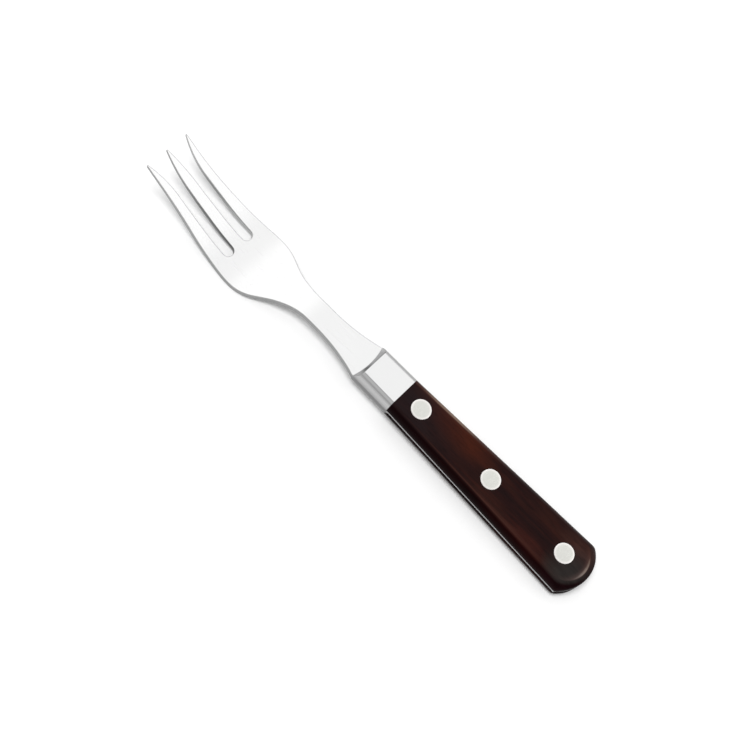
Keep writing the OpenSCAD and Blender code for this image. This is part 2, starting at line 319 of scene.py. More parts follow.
# half of the plan, clockwise from the middle of the butt to the point of the middle tine: the edge is an arc
# into the waist and two S-curves over the head, and the walls of a slot are straight, then arcs to the points
def bladePlan(b, headX, tipX):
    waistX = bolsterX + b["waistGap"]
    waistDip = (handle["bolsterW"] - b["waistW"]) / 2
    waistArcR = (b["waistGap"] ** 2 + waistDip**2) / (2 * waistDip)
    waistTurn = math.degrees(math.asin(b["waistGap"] / waistArcR))
    waistMid = (waistX, b["waistW"] / 2 + waistArcR)
    waistEnd = (waistX + b["waistLen"], b["waistW"] / 2)
    widest = (headX, b["headW"] / 2)
    outerTip = np.array([tipX - b["tipR"], b["tipSpread"] / 2])
    endX = outerTip[0]
    edgeY = outerTip[1] + b["tipR"]
    edge = np.vstack([
        [[cornerX, handle["buttW"] / 2], [handle["scaleLen"], handle["handleW"] / 2]],
        arcPoints(waistMid, waistArcR, -90 - waistTurn, -90, b["curveSteps"]),
        levelCurve(waistEnd, widest, b["waistR"], b["shoulderR"]),
        levelCurve(widest, (endX - b["edgeLen"], edgeY), b["cheekR"], b["edgeR"])[1:],
        [[endX, edgeY]],
    ])
    lean = math.radians(b["slotLean"])
    root = np.array([tipX - b["tineLen"] + b["slotW"] / 2, b["slotPitch"] / 2])
    slotRun = (tipX - b["taperLen"] - root[0]) / math.cos(lean)
    slotEnd = root + slotRun * np.array([math.cos(lean), -math.sin(lean)])
    slotSide = b["slotW"] / 2 * np.array([math.sin(lean), math.cos(lean)])
    outerWall = np.vstack([
        [root + slotSide],
        reachingCurve(slotEnd + slotSide, -b["slotLean"], outerTip - [0, b["tipR"]]),
    ])
    innerWall = np.vstack([
        [root - slotSide],
        reachingCurve(slotEnd - slotSide, -b["slotLean"], [endX, b["tipR"]]),
    ])
    cells = b["tineCells"] + b["slotCells"] + b["middleCells"]
    buttTurn = math.degrees(math.asin(handle["buttW"] / 2 / handle["buttR"]))
    rootFrom, rootTo = 90 - b["slotLean"], 270 - b["slotLean"]
    parts = {
        "butt": arcPoints((handle["buttR"], 0), handle["buttR"], 180, 180 - buttTurn, cells),
        "side": evenly(edge, cornerX, root[0], b["bodyRows"]),
        "outer": evenly(edge, root[0], endX, b["tineRows"]),
        "tip": arcPoints(outerTip, b["tipR"], 90, -90, b["tineCells"]),
        "wallOut": evenly(outerWall, outerWall[0, 0], endX, b["tineRows"])[::-1],
        "root": arcPoints(root, b["slotW"] / 2, rootFrom, rootTo, b["slotCells"]),
        "wallIn": evenly(innerWall, innerWall[0, 0], endX, b["tineRows"]),
        "point": arcPoints((endX, 0), b["tipR"], 90, 0, b["middleCells"]),
    }
    return parts, root[0]


# blank: a rounded edge is carried round the plan at the heights of the side view, and the faces inside it are
# straight blends between the lines of the plan
def buildForkBlank(b):
    headX = bolsterX + b["neckLen"]
    tipX = headX + b["headLen"]
    over, under = bladeSide(b, tipX, headX + b["bellyAhead"])
    parts, rootX = bladePlan(b, headX, tipX)

    # heights of the two faces, read off the side view
    def topZ(x):
        return np.interp(x, over[:, 0], over[:, 1])

    def bottomZ(x):
        return np.interp(x, under[:, 0], under[:, 1])

    # the closed outline, and where in it each part of the plan lies
    spans, half = {}, [parts["butt"][:1]]
    count = 1
    for key, line in parts.items():
        spans[key] = np.arange(count - 1, count + len(line) - 1)
        half.append(line[1:])
        count += len(line) - 1
    half = np.vstack(half)
    mirror = np.array([1, -1])
    loop = np.vstack([half, (half * mirror)[-2:0:-1]])

    # edge profile carried round the outline: a quarter round, the upright wall, a quarter round
    outward = leftOf(np.roll(loop, -1, axis=0) - np.roll(loop, 1, axis=0))
    polished = smoothStep(loop[:, 0], bolsterX, bolsterX + b["roundFade"])
    edgeSoft = b["tangRound"] + (b["edgeRound"] - b["tangRound"]) * polished
    ahead = smoothStep(loop[:, 0], handle["scaleLen"] - b["insetFade"], handle["scaleLen"])
    loop = loop - outward * b["tangInset"] * (1 - ahead[:, None])
    turn = np.linspace(0, math.pi / 2, b["roundSteps"] + 1)[:, None]
    offset = edgeSoft * (1 - np.sin(turn))
    drop = edgeSoft * (1 - np.cos(turn))
    flat = loop - outward * offset[..., None]
    upper, lower = lifted(flat, topZ), lifted(flat, bottomZ)
    upper[..., 2] -= drop
    lower[..., 2] += drop
    rim = np.vstack([upper, lower[::-1]])

    # painted shade: cut edges are darker, for the shadowed table they mirror, more so between the bolster
    # cheeks and deep in the left slot, less in the right slot; a painted shade line runs along the upper
    # round of right-facing edges
    cheeks = 1 - smoothStep(loop[:, 0] - bolsterX, *b["cheekFade"])
    paintedWallShade = b["paintedEdgeShade"] + (b["paintedCheekShade"] - b["paintedEdgeShade"]) * cheeks
    rightSlot = len(loop) - np.concatenate([spans["wallOut"][:-1], spans["root"]])
    paintedWallShade[rightSlot] *= b["paintedShadeRightSlot"]
    paintedUpperShade = paintedWallShade.copy()
    deep = np.concatenate([spans["root"][b["slotCells"] // 2:], spans["wallIn"][1:]])
    paintedUpperShade[deep] += hump(loop[deep, 0], b["paintedSlotShade"], rootX, b["slotFade"])
    facing = np.sin(turn) ** 2 * ahead
    paintedRightLine = b["paintedRightEdgeShade"] * np.sin(2 * turn) * np.clip(-outward[:, 1], 0, 1) * ahead
    # the painted shade, kept as the rim's dark mark
    dark = np.vstack([facing * paintedUpperShade + paintedRightLine, (facing * paintedWallShade)[::-1]])

    # a row up to the middle line, and its mirror image
    def bothSides(row):
        return np.vstack([row, (row * mirror)[-2::-1]])

    # faces inside the edge: rows across the body that bend round the slots, then the three tines
    inner = flat[0]
    wallOut, wallIn = inner[spans["wallOut"]][::-1], inner[spans["wallIn"]]
    outer, side, slot = inner[spans["outer"]], inner[spans["side"]], inner[spans["root"]]
    tine = between(outer, wallOut, b["tineCells"])
    tine[-1] = inner[spans["tip"]]
    prong = between(wallIn, wallIn * mirror, 2 * b["middleCells"])
    prong[-1] = bothSides(inner[spans["point"]])
    rightEnd = np.vstack([(slot * mirror)[-2::-1], (tine[0] * mirror)[-2::-1]])
    last = np.vstack([tine[0], slot[1:], prong[0][1:], rightEnd])
    ease = np.clip((side[:, :1] - side[-1, 0] + b["slotBlend"]) / b["slotBlend"], 0, 1)
    bodyX = side[:, :1] + ease * (last[:, 0] - last[0, 0])
    bodyY = side[:, 1:] * last[:, 1] / last[0, 1]
    body = np.stack([bodyX, bodyY], axis=-1)
    butt = np.stack([bothSides(inner[spans["butt"]][::-1]), body[0]])
    faces = [body, butt, tine, tine[:, ::-1] * mirror, prong]
    patches = [{"grid": rim, "wrap": True, "marks": {"dark": dark}}]
    patches += [{"grid": lifted(face, topZ)} for face in faces]
    patches += [{"grid": lifted(face, bottomZ), "flip": True} for face in faces]
    piece = addPiece("forkBlank", patches)
    even = piece.modifiers.new("evenShading", "WEIGHTED_NORMAL")
    even.keep_sharp = True
    return piece


# how far a rounded side has come in at a height: the arc of its circle, then the small arc of the crease,
# which touches that circle from inside and runs out level at the top
def insetAt(z, radius, centreD, centreZ, top, soften):
    softD = centreD - math.sqrt((radius - soften) ** 2 - (top - soften - centreZ) ** 2)
    meetZ = centreZ + radius * (top - soften - centreZ) / (radius - soften)
    onSide = centreD - np.sqrt(radius**2 - (np.minimum(z, meetZ) - centreZ) ** 2)
    onCrease = softD - np.sqrt(np.clip(soften**2 - (z - top + soften) ** 2, 0, None))
    return np.where(z < meetZ, onSide, onCrease)


# scales: two slabs of dark wood with rounded sides and a rounded butt
scale = {
    "buttInset": 2.1,  # between the end of the butt and the flat face
    "buttFaceR": 9.0,  # round end of the flat face
    "buttRoundR": 6.5,  # round-over from the foot of the butt to the flat face
    "buttLip": 0.3,  # how far that foot lies outside the corners of the butt
    "crease": 0.8,  # radius of the crease round the flat face
    "ridge": 0.5,  # width over which sides and butt blend
    # painted highlights along the crease: strength, middle and reach along the handle or in degrees round the
    # butt, then how far below the flat face the painted highlight is strongest, and the reach above and below
    # that
    "paintedLeftHighlight": (0.20, 31, 16, 0.0, 0.4, 0.6),
    "paintedLineHighlight": (0.37, 48, 24, 0.6, 0.28, 0.28),
    "paintedRightHighlight": (1.00, 71, 16.5, 0.9, 0.65, 5.0),
    "paintedButtHighlight": (1.15, 184, 45, 0.0, 1.2, 0.30),
    "sideHighlightSpan": (-3, 9),  # places from the middle of the butt's round between which the sides' painted highlight begins
    "buttHighlightSpan": (-1, 5),  # the same, where the butt's painted highlight ends
    "paintedShadeDepths": (0.10, 0.95),  # depths below the flat face between which the side gets painted shade
    "paintedShadeRound": (-0.30, 0.45),  # sines of the way round, from right to left, between which it sets in
    "leastLean": 0.05,  # rays nearer to the handle's own direction than this never meet a side
    "levels": 26,
    "sideRows": (26, 34, 20),  # rows beside each rivet, from the bolster to the butt
    "buttRows": 72,
    "crossCells": 12,
    "ringShares": (0, 0.25, 0.5, 0.68, 0.8, 0.88, 0.94, 1),  # closer towards the edge of the flat face
}


# ring of faces from a round hole out to a closed line of points
def holeRing(centreX, radius, line, shares):
    away = line - [centreX, 0]
    inner = [centreX, 0] + radius * away / np.linalg.norm(away, axis=1, keepdims=True)
    return between(inner, line, shares)


# painted highlight of the crease: humps along both sides that hand over to one round the butt, times a hump
# over the depth below the flat face, which is negative inward from the crease
def paintedHighlightMark(s, flat, midX, depth):
    x, y = flat[..., 0], flat[..., 1]
    turn = np.degrees(np.arctan2(y, np.minimum(x - midX, -tiny))) % 360
    atSide = smoothStep(x - midX, *s["sideHighlightSpan"])
    atButt = 1 - smoothStep(x - midX, *s["buttHighlightSpan"])
    atLeft, atRight = atSide * (y > 0), atSide * (y < 0)
    mark = np.zeros_like(x)
    for key, where, share in (("paintedLeftHighlight", x, atLeft), ("paintedLineHighlight", x, atLeft),
                              ("paintedRightHighlight", x, atRight), ("paintedButtHighlight", turn, atButt)):
        most, above, under = s[key][3:]
        overDepth = hump(depth, 1, most, np.where(depth < most, above, under))
        mark += share * hump(where, *s[key][:3]) * overDepth
    return mark


# scale: at each height, rays from the middle line end at the nearest of side, butt wall and butt round-over;
# the seat and the flat face are rings round the rivet holes, and stepped bores join them
def buildScale(s, name, below):
    top = handle["scaleT"]
    midX = s["buttInset"] + s["buttFaceR"]
    footR = math.hypot(midX - cornerX, handle["buttW"] / 2) + s["buttLip"]

    # rays across the handle, then round the middle of the butt, then back along the other side
    cuts = [handle["scaleLen"], *((rivetXs[1:] + rivetXs[:-1]) / 2), midX]
    runs = [np.linspace(cuts[i], cuts[i + 1], rows + 1) for i, rows in enumerate(s["sideRows"])]
    xs = np.concatenate([runs[0], runs[1][1:], runs[2][1:]])
    fan = np.linspace(90, 270, s["buttRows"] + 1)[1:-1]
    rayX = np.concatenate([xs, np.full(len(fan), midX), xs[::-1]])
    ray = np.radians(np.concatenate([np.full(len(xs), 90.0), fan, np.full(len(xs), 270.0)]))
    atButt = np.concatenate([np.zeros(len(xs)), np.ones(len(fan)), np.zeros(len(xs))]) > 0

    # reach of each ray at each height: the nearest of side, butt wall and butt round-over, softly joined
    z = top * np.sin(np.linspace(0, math.pi / 2, s["levels"] + 1))[:, None]
    sideIn = insetAt(z, sideR, sideR, 0, top, s["crease"]) * math.hypot(1, scaleSlope)
    lean = np.abs(np.sin(ray)) + np.cos(ray) * scaleSlope
    room = handle["buttW"] / 2 - (rayX - cornerX) * scaleSlope
    toSide = (room - sideIn) / np.maximum(lean, s["leastLean"])
    toSide = np.where(lean > s["leastLean"], toSide, handle["scaleLen"])
    gap = rayX - handle["buttR"]
    wallRoom = np.maximum(handle["buttR"] ** 2 - (gap * np.sin(ray)) ** 2, 0)
    toWall = -gap * np.cos(ray) + np.sqrt(wallRoom)
    chord = np.array([footR - s["buttFaceR"], top])  # of the round-over, from its foot to the flat face
    lift = math.sqrt(s["buttRoundR"] ** 2 - chord @ chord / 4)
    ringMid = chord / 2 + lift * np.array([chord[1], -chord[0]]) / np.linalg.norm(chord)
    toRound = footR - insetAt(z, s["buttRoundR"], ringMid[0], ringMid[1], top, s["crease"])
    toEnd = softMin(toWall, toRound, s["ridge"])
    reach = np.where(atButt, softMin(toSide, toEnd, s["ridge"]), toSide)
    flat = np.stack([rayX + reach * np.cos(ray), reach * np.sin(ray)], axis=-1)
    height = np.broadcast_to(z, reach.shape)
    band = np.concatenate([flat, height[..., None]], axis=-1)

    # marks of the sides: painted highlight by the way down from the crease, and painted shade lower down
    step = np.hypot(np.diff(height, axis=0, prepend=0), np.diff(reach, axis=0, prepend=reach[:1]))
    depth = np.cumsum(step[::-1], axis=0)[::-1] - step
    paintedHighlight = paintedHighlightMark(s, flat, midX, depth)
    # painted shade down the sides, on the left and part of the butt, not on the right
    dark = smoothStep(top - z, *s["paintedShadeDepths"]) * smoothStep(np.sin(ray), *s["paintedShadeRound"])
    patches = [{"grid": band, "marks": {"paintedHighlight": paintedHighlight, "dark": dark}}]

    count = len(rayX)
    ends = np.concatenate([[0], np.cumsum(s["sideRows"])])

    # ring round a rivet's hole, out to the edge of the seat or the flat face and the cuts between rivets
    def ringRound(i, edge, radius):
        left = edge[ends[i]:ends[i + 1] + 1]
        right = edge[count - 1 - ends[i + 1]:count - ends[i]]
        front = between(right[-1:], left[:1], s["crossCells"])[0]
        back = between(left[-1:], right[:1], s["crossCells"])[0]
        if ends[i + 1] == ends[-1]:
            back = edge[ends[-1]:count - ends[-1]]
        line = np.vstack([left, back[1:-1], right, front[1:-1], left[:1]])
        return holeRing(rivetXs[i], radius, line, s["ringShares"])

    edgeHalf = handle["buttW"] / 2 + cornerX * scaleSlope - sideIn[-1, 0]  # flat face, carried on to x = 0

    # way inward from the edge of the flat face: the nearer of its side and its round end
    def inward(points):
        x, y = points[..., 0], points[..., 1]
        fromSide = edgeHalf - x * scaleSlope - np.abs(y)
        fromEnd = s["buttFaceR"] - np.hypot(np.minimum(x - midX, 0), y)
        return np.maximum(np.where(x < midX, np.minimum(fromSide, fromEnd), fromSide), 0)

    ledge = top - handle["headT"]
    for i in range(len(rivetXs)):
        seat = ringRound(i, flat[0], handle["sleeveD"] / 2 + handle["fitGap"])
        face = ringRound(i, flat[-1], handle["headD"] / 2 + handle["fitGap"])
        bore, rim = seat[:, 0], face[:, 0]
        wall = np.stack([lifted(bore, 0.0), lifted(bore, ledge), lifted(rim, ledge), lifted(rim, top)])
        patches += [
            {"grid": lifted(seat, 0.0), "flip": True},
            {"grid": lifted(face, top), "marks": {"paintedHighlight": paintedHighlightMark(s, face, midX, -inward(face))}},
            {"grid": wall, "flip": True},
        ]
    front = between(band[:, 0], band[:, -1], s["crossCells"])
    patches.append({"grid": front, "flip": True})
    return addPiece(name, seated(patches, below))


# bolster cheeks: steel blocks with the handle's rounded sides and a hollow front that runs out to a thin edge
bolster = {
    "coveR": 2.2,
    "coveMid": 1.15,  # how far the hollow runs out in the middle; it sweeps forward to coveR at the sides
    "coveLip": 0.3,  # thickness of the edge that the hollow runs out to
    "hollow": 1.6,  # power of the hollow's curve: 1 is a plain slope
    "crease": 0.35,
    "brow": 0.3,  # round-over at the top of the hollow
    "paintedShadeFrom": 4,  # step over the brow where the hollow's painted shade line sets in
    "hollowDark": (0.75, 1.10),  # distances from the brow between which that line fades
    "paintedShadeAtFoot": 0.22,  # what is left of the painted shade at the foot of the hollow
    "paintedLineShade": (0.08, 0.80, 0.36, 0.27),  # its base, and strength, middle and reach across the bolster
    "paintedSeatShade": (0.20, 2.0),  # strength and height of the painted shade on the flanks over the seat
    "rows": 30,
    "browSteps": 6,
    "coveSteps": 20,
    "levels": 22,
    "cells": 24,
}


# cheek: a side view runs along the top, over the brow and down the hollow, whose run grows with the square of
# the place across; it is spread to the half width at each height, and flanks, seat and back close it
def buildBolster(b, name, below):
    top, backX = handle["scaleT"], handle["scaleLen"]
    wallX = bolsterX - b["coveR"]
    browX, browZ = wallX - b["brow"], top - b["brow"]
    spread = np.linspace(1, -1, b["cells"] + 1)[None, :]
    crownX = np.linspace(backX, browX, b["rows"] + 1)[:, None]
    brow = arcPoints((browX, browZ), b["brow"], 90, 0, b["browSteps"])[1:]
    fall = np.linspace(0, 1, b["coveSteps"] + 1)[1:, None]
    run = b["coveMid"] + (b["coveR"] - b["coveMid"]) * spread**2
    frontX = wallX + run * fall ** b["hollow"]
    frontZ = browZ - (browZ - b["coveLip"]) * fall
    x = np.vstack([crownX + 0 * spread, brow[:, :1] + 0 * spread, frontX, frontX[-1:]])
    z = np.vstack([0 * crownX + top, brow[:, 1:], frontZ, [[0.0]]]) + 0 * spread
    crownEnd = x[b["rows"]]
    share = np.linspace(0, 1, len(x) - b["rows"])[:, None]
    footX = np.vstack([x[:b["rows"]], crownEnd + (x[-1] - crownEnd) * share])

    # half width at a height: the handle's side line less the inset of the rounded side
    def halfWidth(atX, atZ):
        line = handle["handleW"] / 2 - (atX - backX) * bolsterSlope
        return line - insetAt(atZ, sideR, sideR, 0, top, b["crease"])

    over = np.stack([x, spread * halfWidth(x, z), z], axis=-1)
    seat = np.stack([footX, spread * halfWidth(footX, 0 * footX), 0 * footX], axis=-1)
    climb = np.sin(np.linspace(0, math.pi / 2, b["levels"] + 1))[:, None]
    sideX = footX[:, 0] + (x[:, 0] - footX[:, 0]) * climb
    sideZ = z[:, 0] * climb
    flank = np.stack([sideX, halfWidth(sideX, sideZ), sideZ], axis=-1)
    otherFlank = flank * [1, -1, 1]
    back = between(flank[:, 0], otherFlank[:, 0], b["cells"])

    # painted shade: a dark line under the brow, paler towards the foot, and dark flanks over the seat
    lineFrom, lineFull = b["rows"] + b["paintedShadeFrom"], b["rows"] + b["browSteps"] + 1
    underBrow = smoothStep(np.arange(len(x)), lineFrom, lineFull)[:, None]
    pale = b["paintedShadeAtFoot"] + (1 - b["paintedShadeAtFoot"]) * (1 - smoothStep(x - wallX, *b["hollowDark"]))
    line = underBrow * pale * (b["paintedLineShade"][0] + hump(spread, *b["paintedLineShade"][1:]))
    low = b["paintedSeatShade"][0] * (1 - smoothStep(sideZ, 0, b["paintedSeatShade"][1]))
    patches = [
        {"grid": over, "marks": {"dark": line}},
        {"grid": flank, "flip": True, "marks": {"dark": low}},
        {"grid": otherFlank, "marks": {"dark": low}},
        {"grid": seat, "flip": True},
        {"grid": back},
    ]
    return addPiece(name, seated(patches, below))


# rivets: a sleeve and a pin, each with a flush head
rivet = {
    "pinD": 3.2,
    "endGap": 0.4,  # from the end of a shank to the head of the other half
    "dome": 0.05,  # how far the polished head rises to its middle, half of it above the wood
    "edgeRound": 0.22,
    "paintedHighlightBand": 0.8,  # share of the face's radius where the rim's painted highlight sets in
    "domeSteps": 8,
    "roundSteps": 5,
    "turnSteps": 72,
}


# half of a rivet, turned about its axis: a dome that falls with the square of the radius, a round edge, the
# underside of the head, and then a tube for the sleeve or, from below, a plain shank for the pin
def buildRivet(r, name, x, below):
    faceZ = seatZ + handle["scaleT"]
    headR, headUnder = handle["headD"] / 2, faceZ - handle["headT"]
    pinR, tubeR = r["pinD"] / 2, handle["sleeveD"] / 2
    boreR = pinR + handle["fitGap"]
    tubeEnd = -headUnder + r["endGap"]
    rimR = headR - r["edgeRound"]
    domeR = np.linspace(0, rimR, r["domeSteps"] + 1)
    dome = np.stack([domeR, faceZ + r["dome"] * (0.5 - (domeR / rimR) ** 2)], axis=-1)
    rim = arcPoints((rimR, dome[-1, 1] - r["edgeRound"]), r["edgeRound"], 90, 0, r["roundSteps"])
    tube = [[tubeR, headUnder], [tubeR, tubeEnd], [boreR, tubeEnd], [boreR, headUnder], [0, headUnder]]
    shank = [[pinR, headUnder], [pinR, tubeEnd], [0, tubeEnd]]
    profile = np.vstack([dome, rim[1:], [[headR, headUnder]], shank if below else tube])
    turn = np.linspace(0, 2 * math.pi, r["turnSteps"], endpoint=False)
    radius, z = profile[:, :1], profile[:, 1:]
    grid = np.stack([x + radius * np.cos(turn), radius * np.sin(turn), z + 0 * turn], axis=-1)
    if below:
        grid = grid * [1, 1, -1]
    # mark for the painted highlight on the rounded rim
    edge = smoothStep(radius, r["paintedHighlightBand"] * rimR, rimR) * (z > headUnder + tiny)
    return addPiece(name, [{"grid": grid, "wrap": True, "flip": not below, "marks": {"edge": edge}}])


# one call adds a node, sets its sockets and links what is a socket itself; a socket goes by its name, or by n
# and its number
def addNode(tree, kind, settings=None, **inputs):
    node = tree.nodes.new(kind)
    for key, value in (settings or {}).items():
        setattr(node, key, value)
    for key, value in inputs.items():
        numbered = key[0] == "n" and key[1:].isdigit()
        socket = node.inputs[int(key[1:]) if numbered else key]
        if isinstance(value, bpy.types.NodeSocket):
            tree.links.new(value, socket)
        else:
            socket.default_value = value
    return node


# material with one shader and nothing linked to it
def newMaterial(name):
    material = bpy.data.materials.new(name)
    material.use_nodes = True
    tree = material.node_tree
    tree.nodes.clear()
    shader = addNode(tree, "ShaderNodeBsdfPrincipled")
    output = addNode(tree, "ShaderNodeOutputMaterial")
    tree.links.new(shader.outputs[0], output.inputs[0])
    return material, tree, shader


# the place on the piece, in its own coordinates
def placeOn(tree):
    return addNode(tree, "ShaderNodeTexCoord").outputs["Object"]


# noise stretched along the axes: cells per metre along x, y and z
def stretchedNoise(tree, coordinates, cells, detail, roughness=0.5):
    stretched = addNode(tree, "ShaderNodeMapping", Vector=coordinates, Scale=cells).outputs[0]
    noise = addNode(tree, "ShaderNodeTexNoise", Vector=stretched, Scale=1.0, Detail=detail,
                    Roughness=roughness)
    return noise.outputs["Fac"]


# map from one range of values to another, straight or as a smooth step
def mapped(tree, value, low, high, newLow, newHigh, kind="LINEAR"):
    settings = {"interpolation_type": kind}
    node = addNode(tree, "ShaderNodeMapRange", settings, n0=value, n1=low, n2=high, n3=newLow, n4=newHigh)
    return node.outputs[0]


# one operation on two values
def combined(tree, operation, first, second):
    return addNode(tree, "ShaderNodeMath", {"operation": operation}, n0=first, n1=second).outputs[0]


# the first colour, moved to the second by a factor, or multiplied by it
def mixColour(tree, factor, first, second, blend="MIX"):
    settings = {"data_type": "RGBA", "blend_type": blend}
    return addNode(tree, "ShaderNodeMix", settings, n0=factor, n6=first, n7=second).outputs[2]


# a mark of the piece, from its point attribute
def markOf(tree, name):
    return addNode(tree, "ShaderNodeAttribute", {"attribute_name": name}).outputs["Fac"]


# relief: a height in a given strength, over a tenth of a millimetre
def addRelief(tree, shader, height, strength):
    bump = addNode(tree, "ShaderNodeBump", Strength=strength, Distance=0.1 * mm, Height=height)
    tree.links.new(bump.outputs[0], shader.inputs["Normal"])


# a tint at a share of its brightness, as an opaque colour
def shaded(tint, share):
    return tuple(c * share for c in tint) + (1.0,)


# steels: the grain that they share, then the tint and the polish of each
steelFinish = {
    "lines": {"cells": (30, 2600, 2600), "detail": 3.0},  # polishing lines
    "clouds": {"cells": (60, 90, 90), "detail": 3.0},
    "dull": 0.985,  # brightness of the duller clouds, of 1
    "blade": {
        "tint": (0.50, 0.50, 0.50),
        "rough": (0.22, 0.28),
        "relief": 0.012,  # strength of the polishing lines
        "paintedShadeLevel": 0.04,  # brightness where the painted shade mark is full, of 1
        "grazing": 0.75,  # tint at a flat angle
    },
    "bolster": {
        "tint": (0.47, 0.47, 0.47),
        "rough": (0.14, 0.19),
        "relief": 0.01,
        "paintedShadeLevel": 0.05,
        "grazing": 0.6,
    },
}


# steel: polishing lines run along the fork, over faint cloudy patches; cut edges and the hollow get painted
# shade
def steelMaterial(name, s, part):
    material, tree, shader = newMaterial(name)
    coordinates = placeOn(tree)
    lines = stretchedNoise(tree, coordinates, **s["lines"])
    clouds = stretchedNoise(tree, coordinates, **s["clouds"])
    steel = s[part]
    colour = mixColour(tree, clouds, shaded(steel["tint"], s["dull"]), shaded(steel["tint"], 1.0))
    # painted shade, from the piece's dark mark
    colour = mixColour(tree, markOf(tree, "dark"), colour, shaded(steel["tint"], steel["paintedShadeLevel"]))
    tree.links.new(colour, shader.inputs["Base Color"])
    tree.links.new(mapped(tree, lines, *noiseSpan, *steel["rough"]), shader.inputs["Roughness"])
    addRelief(tree, shader, lines, steel["relief"])
    shader.inputs["Metallic"].default_value = 1.0
    shader.inputs["Specular Tint"].default_value = shaded((1.0, 1.0, 1.0), steel["grazing"])
    return material


# wood: colours, then grain and patches
woodFinish = {
    "dark": (0.0110, 0.0040, 0.0040, 1.0),
    "brown": (0.0270, 0.0086, 0.0062, 1.0),
    "red": (0.0580, 0.0120, 0.0085, 1.0),
    "russet": (0.0570, 0.0120, 0.0055, 1.0),
    "cool": (0.0120, 0.0075, 0.0085, 1.0),
    "tawny": (0.0480, 0.0195, 0.0150, 1.0),
    # painted reflection of the sky, for the patch below the last rivet
    "paintedReflectionGrey": (0.0300, 0.0245, 0.0205, 1.0),
    "paintedHighlight": (0.0560, 0.0220, 0.0165, 1.0),  # painted highlight at half strength
    "pale": (0.2200, 0.1450, 0.1060, 1.0),  # painted highlight at full strength
    "sideShade": (0.32, 0.05, 0.10, 1.0),  # what the sides' colour is multiplied by
    "rough": (0.26, 0.40),
    "gloss": 0.03,
    "poreRelief": 0.05,
    "figure": {"cells": (38, 150, 150), "detail": 3.0, "roughness": 0.55},
    "streaks": {"cells": (22, 900, 900), "detail": 5.0, "roughness": 0.6},
    "pores": {"cells": (180, 3600, 3600), "detail": 2.0},
    # what a noise gives, low and high, and what that becomes
    "brownShare": (0.40, 0.68, 0.0, 1.0),  # of the figure
    "redShare": (0.48, 0.75, 0.0, 0.18),  # of the streaks
    "poreShade": (0.36, 0.44, 0.70, 1.0),
    "patchShare": (0.3, 0.6, 0.3, 1.0),  # of the figure, in the patches
    "paintedHighlightShare": (*noiseSpan, 0.75, 1.1),  # of the figure, in the painted crease highlight
    # patches of the figure: colour, strength, middle and reach in metres
    "zones": (
        ("russet", 0.9, (-0.0362, -0.0045, 0.010), (0.021, 0.0075, 0.03)),
        ("tawny", 0.9, (-0.0955, -0.0060, 0.009), (0.012, 0.0065, 0.03)),
        ("red", 0.4, (-0.0780, 0.0065, 0.010), (0.012, 0.0040, 0.03)),
        ("cool", 0.9, (-0.0200, 0.0030, 0.010), (0.024, 0.0160, 0.03)),
        # painted reflection: a greyer patch below the last rivet
        ("paintedReflectionGrey", 1.0, (-0.0950, 0.0042, 0.009), (0.010, 0.0080, 0.03)),
    ),
    # painted reflection that greys the butt: saturation that is left, middle and reach in metres
    "paintedButtReflection": (0.52, (-0.0987, 0.0052, 0.009), (0.012, 0.013, 0.03)),
    "zoneFull": 0.7,  # way in from a zone's end to its middle at which it is full, of 1
}


# round zone that grows from 0 at its reach to a strength near its middle
def softZone(tree, coordinates, middle, reach, full, strength):
    stretch = tuple(1 / r for r in reach)
    shift = tuple(-m / r for m, r in zip(middle, reach))
    moved = addNode(tree, "ShaderNodeMapping", Vector=coordinates, Scale=stretch, Location=shift).outputs[0]
    ball = addNode(tree, "ShaderNodeTexGradient", {"gradient_type": "SPHERICAL"}, Vector=moved)
    return mapped(tree, ball.outputs["Fac"], 0.0, full, 0.0, strength)


# dark polished wood: reddish figure over near black with faint lengthwise streaks and fine pores, a painted
# highlight along the crease round the flat face, a butt greyed by painted reflection, and painted maroon
# shade on the sides
def woodMaterial(name, w):
    material, tree, shader = newMaterial(name)
    coordinates = placeOn(tree)
    figure = stretchedNoise(tree, coordinates, **w["figure"])
    streaks = stretchedNoise(tree, coordinates, **w["streaks"])
    pores = stretchedNoise(tree, coordinates, **w["pores"])
    base = mixColour(tree, mapped(tree, figure, *w["brownShare"]), w["dark"], w["brown"])
    base = mixColour(tree, mapped(tree, streaks, *w["redShare"]), base, w["red"])
    patchy = mapped(tree, figure, *w["patchShare"])
    for colour, strength, middle, reach in w["zones"]:
        zone = softZone(tree, coordinates, middle, reach, w["zoneFull"], strength)
        base = mixColour(tree, combined(tree, "MULTIPLY", zone, patchy), base, w[colour])
    base = mixColour(tree, 1.0, base, mapped(tree, pores, *w["poreShade"]), "MULTIPLY")
    # painted highlight along the crease, from the piece's mark, first to the half colour, then to the full
    # one
    paintedHighlight = combined(tree, "MULTIPLY", markOf(tree, "paintedHighlight"), mapped(tree, figure, *w["paintedHighlightShare"]))
    base = mixColour(tree, mapped(tree, paintedHighlight, 0.0, 0.5, 0.0, 1.0), base, w["paintedHighlight"])
    base = mixColour(tree, mapped(tree, paintedHighlight, 0.5, 1.0, 0.0, 1.0), base, w["pale"])
    # painted reflection: the butt and its painted highlight greyed
    left, middle, reach = w["paintedButtReflection"]
    faded = softZone(tree, coordinates, middle, reach, w["zoneFull"], 1.0)
    base = addNode(tree, "ShaderNodeHueSaturation", Saturation=left, n3=faded, Color=base).outputs[0]
    # painted shade on the sides, from the dark mark
    base = mixColour(tree, markOf(tree, "dark"), base, w["sideShade"], "MULTIPLY")
    tree.links.new(base, shader.inputs["Base Color"])
    tree.links.new(mapped(tree, streaks, *noiseSpan, *w["rough"]), shader.inputs["Roughness"])
    addRelief(tree, shader, pores, w["poreRelief"])
    shader.inputs["Specular IOR Level"].default_value = w["gloss"]
    return material


